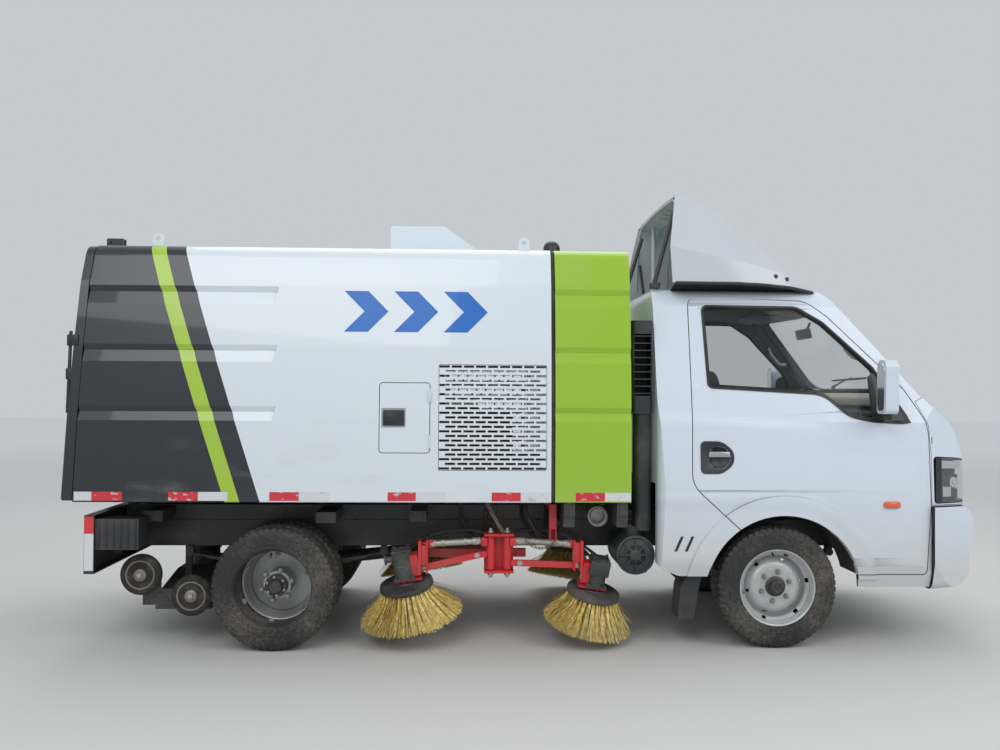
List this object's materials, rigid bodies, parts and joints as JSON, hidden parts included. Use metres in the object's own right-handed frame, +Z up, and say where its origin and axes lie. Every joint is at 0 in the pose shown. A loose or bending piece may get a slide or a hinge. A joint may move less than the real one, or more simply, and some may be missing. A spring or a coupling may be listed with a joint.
{
  "type": "street sweeper truck",
  "caption": "Compact cab-over street sweeper truck with a tipping hopper, water tank, side brush arms, suction head and roof deflector.",
  "frame": {"origin": "on the ground below the middle of the truck's length and width", "axes": "+X forward to the cab, +Y to the truck's left, +Z up"},
  "size_m": [5.0985, 2.0318, 2.5704],
  "materials": {
    "cab_white": "gloss pale white paint",
    "body_white": "gloss pale white paint with dark blue and green bands",
    "green_paint": "gloss yellow-green paint",
    "black_steel": "satin black chassis paint",
    "red_paint": "gloss red paint, worn",
    "axle_iron": "dusty cast iron",
    "engine_iron": "cast iron",
    "tyre": "dusty black tyre",
    "rubber": "black rubber",
    "rim_silver": "silver paint",
    "plastic_black": "moulded black plastic",
    "plastic_grey": "moulded grey plastic",
    "seat_cloth": "grey seat cloth",
    "window_glass": "clear window glass",
    "lamp_lens": "clear lamp lens with a dark housing",
    "red_lens": "red and orange lamp lenses in black housings",
    "bristle": "straw yellow bristles in a black disc"
  },
  "bodies": {
    "chassis": {"chassis_frame": "black_steel", "subframe": "black_steel", "rear_axle": "axle_iron", "front_axle": "axle_iron", "engine_block": "engine_iron", "propshaft": "axle_iron", "fuel_tank": "black_steel", "air_intake": "plastic_black", "cab_shell": "cab_white", "front_panel": "cab_white", "front_bumper": "cab_white", "headlamps": "lamp_lens", "fixed_glass": "window_glass", "seats": "seat_cloth", "dashboard": "plastic_grey", "mud_flaps": "rubber", "roof_deflector": "cab_white", "water_tank": "green_paint", "fan_engine": "engine_iron", "tip_cylinder": "black_steel", "brush_carrier": "red_paint", "suction_head": "black_steel", "suction_hose": "rubber", "rear_bumper": "black_steel", "tail_lamps": "red_lens"},
    "steering_wheel": {"steering_wheel": "plastic_black"},
    "door_left": {"door_left": "cab_white", "door_glass_left": "window_glass", "mirror_left": "cab_white"},
    "door_right": {"door_right": "cab_white", "door_glass_right": "window_glass", "mirror_right": "cab_white"},
    "knuckle_left": {"knuckle_left": "axle_iron"},
    "knuckle_right": {"knuckle_right": "axle_iron"},
    "front_wheel_left": {"front_tyre_left": "tyre", "front_rim_left": "rim_silver"},
    "front_wheel_right": {"front_tyre_right": "tyre", "front_rim_right": "rim_silver"},
    "rear_wheels_left": {"rear_tyres_left": "tyre", "rear_rims_left": "rim_silver"},
    "rear_wheels_right": {"rear_tyres_right": "tyre", "rear_rims_right": "rim_silver"},
    "hopper": {"hopper_shell": "body_white", "hopper_floor": "black_steel", "side_grilles": "body_white"},
    "tailgate": {"tailgate": "body_white"},
    "service_flap_left": {"service_flap_left": "body_white"},
    "service_flap_right": {"service_flap_right": "body_white"},
    "brush_arm_rear_left": {"brush_arm_rear_left": "red_paint"},
    "brush_rear_left": {"brush_rear_left": "bristle"},
    "guide_wheel_rear_left": {"guide_wheel_rear_left": "rubber"},
    "brush_arm_rear_right": {"brush_arm_rear_right": "red_paint"},
    "brush_rear_right": {"brush_rear_right": "bristle"},
    "guide_wheel_rear_right": {"guide_wheel_rear_right": "rubber"},
    "brush_arm_front_left": {"brush_arm_front_left": "red_paint"},
    "brush_front_left": {"brush_front_left": "bristle"},
    "guide_wheel_front_left": {"guide_wheel_front_left": "rubber"},
    "brush_arm_front_right": {"brush_arm_front_right": "red_paint"},
    "brush_front_right": {"brush_front_right": "bristle"},
    "guide_wheel_front_right": {"guide_wheel_front_right": "rubber"}
  },
  "joints": [
    {"name": "steer_left", "type": "hinge", "parent": "chassis", "child": "knuckle_left", "pos_m": [1.35, 0.6, 0.335], "axis": [0, 0, 1], "range_deg": [-32, 32]},
    {"name": "front_wheel_left_spin", "type": "hinge", "parent": "knuckle_left", "child": "front_wheel_left", "pos_m": [1.35, 0.738, 0.335], "axis": [0, 1, 0], "continuous": true},
    {"name": "rear_wheels_left_spin", "type": "hinge", "parent": "chassis", "child": "rear_wheels_left", "pos_m": [-1.41, 0.65, 0.335], "axis": [0, 1, 0], "continuous": true},
    {"name": "door_left_swing", "type": "hinge", "parent": "chassis", "child": "door_left", "pos_m": [2.19, 0.845, 0.9], "axis": [0, 0, -1], "range_deg": [0, 62]},
    {"name": "service_flap_left_swing", "type": "hinge", "parent": "hopper", "child": "service_flap_left", "pos_m": [-0.571, 0.896, 1.26], "axis": [0, 0, -1], "range_deg": [0, 110]},
    {"name": "brush_arm_rear_left_swing", "type": "hinge", "parent": "chassis", "child": "brush_arm_rear_left", "pos_m": [-0.232, 0.7, 0.5], "axis": [0, 0, -1], "range_deg": [0, 32]},
    {"name": "brush_arm_front_left_swing", "type": "hinge", "parent": "chassis", "child": "brush_arm_front_left", "pos_m": [-0.14, 0.7, 0.5], "axis": [0, 0, 1], "range_deg": [0, 32]},
    {"name": "steer_right", "type": "hinge", "parent": "chassis", "child": "knuckle_right", "pos_m": [1.35, -0.6, 0.335], "axis": [0, 0, 1], "range_deg": [-32, 32]},
    {"name": "front_wheel_right_spin", "type": "hinge", "parent": "knuckle_right", "child": "front_wheel_right", "pos_m": [1.35, -0.738, 0.335], "axis": [0, 1, 0], "continuous": true},
    {"name": "rear_wheels_right_spin", "type": "hinge", "parent": "chassis", "child": "rear_wheels_right", "pos_m": [-1.41, -0.65, 0.335], "axis": [0, 1, 0], "continuous": true},
    {"name": "door_right_swing", "type": "hinge", "parent": "chassis", "child": "door_right", "pos_m": [2.19, -0.845, 0.9], "axis": [0, 0, 1], "range_deg": [0, 62]},
    {"name": "service_flap_right_swing", "type": "hinge", "parent": "hopper", "child": "service_flap_right", "pos_m": [-0.571, -0.896, 1.26], "axis": [0, 0, 1], "range_deg": [0, 110]},
    {"name": "brush_arm_rear_right_swing", "type": "hinge", "parent": "chassis", "child": "brush_arm_rear_right", "pos_m": [-0.232, -0.7, 0.5], "axis": [0, 0, 1], "range_deg": [0, 32]},
    {"name": "brush_arm_front_right_swing", "type": "hinge", "parent": "chassis", "child": "brush_arm_front_right", "pos_m": [-0.14, -0.7, 0.5], "axis": [0, 0, -1], "range_deg": [0, 32]},
    {"name": "steering_wheel_turn", "type": "hinge", "parent": "chassis", "child": "steering_wheel", "pos_m": [1.745, 0.385, 1.215], "axis": [-0.806, 0, 0.592], "range_deg": [-512, 512]},
    {"name": "hopper_tip", "type": "hinge", "parent": "chassis", "child": "hopper", "pos_m": [-2.43, 0, 0.786], "axis": [0, -1, 0], "range_deg": [0, 45]},
    {"name": "tailgate_lift", "type": "hinge", "parent": "hopper", "child": "tailgate", "pos_m": [-2.432, 0, 2.262], "axis": [0, 1, 0], "range_deg": [0, 75]},
    {"name": "brush_rear_left_spin", "type": "hinge", "parent": "brush_arm_rear_left", "child": "brush_rear_left", "pos_m": [-0.7, 0.7, 0.335], "axis": [-0.1564, 0.2054, 0.9661], "continuous": true},
    {"name": "brush_rear_right_spin", "type": "hinge", "parent": "brush_arm_rear_right", "child": "brush_rear_right", "pos_m": [-0.7, -0.7, 0.335], "axis": [-0.1564, -0.2054, 0.9661], "continuous": true},
    {"name": "brush_front_left_spin", "type": "hinge", "parent": "brush_arm_front_left", "child": "brush_front_left", "pos_m": [0.345, 0.7, 0.292], "axis": [0.1736, 0.2048, 0.9633], "continuous": true},
    {"name": "brush_front_right_spin", "type": "hinge", "parent": "brush_arm_front_right", "child": "brush_front_right", "pos_m": [0.345, -0.7, 0.292], "axis": [0.1736, -0.2048, 0.9633], "continuous": true},
    {"name": "guide_wheel_rear_left_spin", "type": "hinge", "parent": "chassis", "child": "guide_wheel_rear_left", "pos_m": [-2.166, 0.672, 0.384], "axis": [0, 1, 0], "continuous": true},
    {"name": "guide_wheel_rear_right_spin", "type": "hinge", "parent": "chassis", "child": "guide_wheel_rear_right", "pos_m": [-2.166, -0.672, 0.384], "axis": [0, 1, 0], "continuous": true},
    {"name": "guide_wheel_front_left_spin", "type": "hinge", "parent": "chassis", "child": "guide_wheel_front_left", "pos_m": [-1.887, 0.672, 0.268], "axis": [0, 1, 0], "continuous": true},
    {"name": "guide_wheel_front_right_spin", "type": "hinge", "parent": "chassis", "child": "guide_wheel_front_right", "pos_m": [-1.887, -0.672, 0.268], "axis": [0, 1, 0], "continuous": true}
  ],
  "couplings": [
    {"joint": "steer_right", "follows": "steer_left", "ratio": 1},
    {"joint": "steering_wheel_turn", "follows": "steer_left", "ratio": 16}
  ]
}
